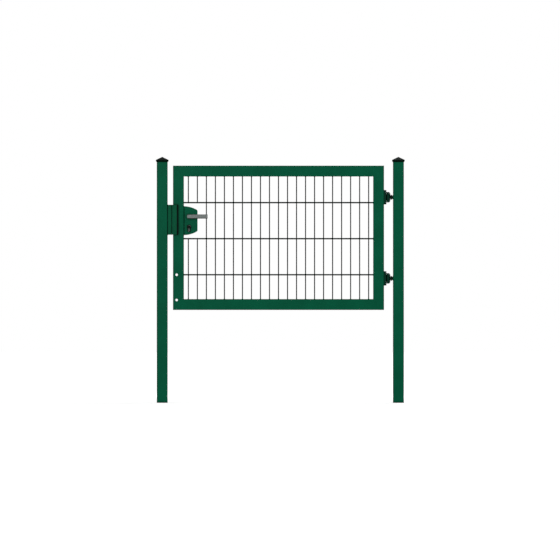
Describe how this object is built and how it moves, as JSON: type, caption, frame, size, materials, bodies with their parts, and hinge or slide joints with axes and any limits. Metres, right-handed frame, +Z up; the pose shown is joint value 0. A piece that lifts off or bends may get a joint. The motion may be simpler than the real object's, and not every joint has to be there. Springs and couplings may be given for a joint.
{
  "type": "tubular frame gate",
  "caption": "Garden gate: a tubular steel frame filled with double-wire mesh, hung on eyebolt hinges between square posts, with a lever lock and a keep.",
  "frame": {"origin": "centre of the hinge post's foot", "axes": "+X from the lock post to the hinge post, +Z up, the front of the gate faces -Y"},
  "size_m": [1.38, 0.114, 1.364],
  "materials": {
    "post_paint": "moss-green powder coat, satin",
    "frame_paint": "moss-green powder coat, satin",
    "keep_paint": "moss-green powder coat, satin",
    "wire_paint": "dark moss-green powder coat over galvanised wire, satin",
    "hinge_paint": "dark green powder coat, satin",
    "cap_plastic": "black moulded plastic",
    "buffer_rubber": "black rubber",
    "bright_steel": "zinc-plated steel",
    "lever_metal": "matt anodised grey",
    "cylinder_metal": "matt nickel",
    "lock_plastic": "black moulded plastic",
    "black_steel": "black-oxide steel"
  },
  "bodies": {
    "posts": {"hinge_post": "post_paint", "lock_post": "post_paint", "hinge_post_cap": "cap_plastic", "lock_post_cap": "cap_plastic", "hinge_sleeve_upper": "hinge_paint", "hinge_sleeve_lower": "hinge_paint", "eyebolt_upper": "hinge_paint", "eyebolt_lower": "hinge_paint", "lock_nut_upper": "black_steel", "lock_nut_lower": "black_steel", "keep_box": "keep_paint", "stop_plate": "keep_paint", "stop_buffer": "buffer_rubber"},
    "leaf": {"lock_stile": "frame_paint", "hinge_stile": "frame_paint", "top_rail": "frame_paint", "bottom_rail": "frame_paint", "mesh_panel": "wire_paint", "lock_case": "frame_paint", "lock_faceplate": "bright_steel", "lock_mechanism": "bright_steel", "latch_bolt": "bright_steel", "dead_bolt": "bright_steel", "key_cylinder": "cylinder_metal", "key_plug_front": "black_steel", "key_plug_back": "black_steel", "cylinder_surround_front": "lock_plastic", "cylinder_surround_back": "lock_plastic", "lever_bush_front": "lock_plastic", "lever_bush_back": "lock_plastic", "hinge_bracket_upper": "hinge_paint", "hinge_bracket_lower": "hinge_paint", "hinge_pin_upper": "bright_steel", "hinge_pin_lower": "bright_steel"},
    "levers": {"lever_front": "lever_metal", "lever_back": "lever_metal", "lever_spindle": "bright_steel"}
  },
  "joints": [
    {"name": "leaf_swing", "type": "hinge", "parent": "posts", "child": "leaf", "pos_m": [-0.057, 0, 0], "axis": [0, 0, -1], "range_deg": [0, 90]},
    {"name": "lever_turn", "type": "hinge", "parent": "leaf", "child": "levers", "pos_m": [-1.161, 0, 1.033], "axis": [0, 1, 0], "range_deg": [0, 40], "stiffness_Nm_per_rad": 1.5, "springref_deg": -28.65}
  ]
}
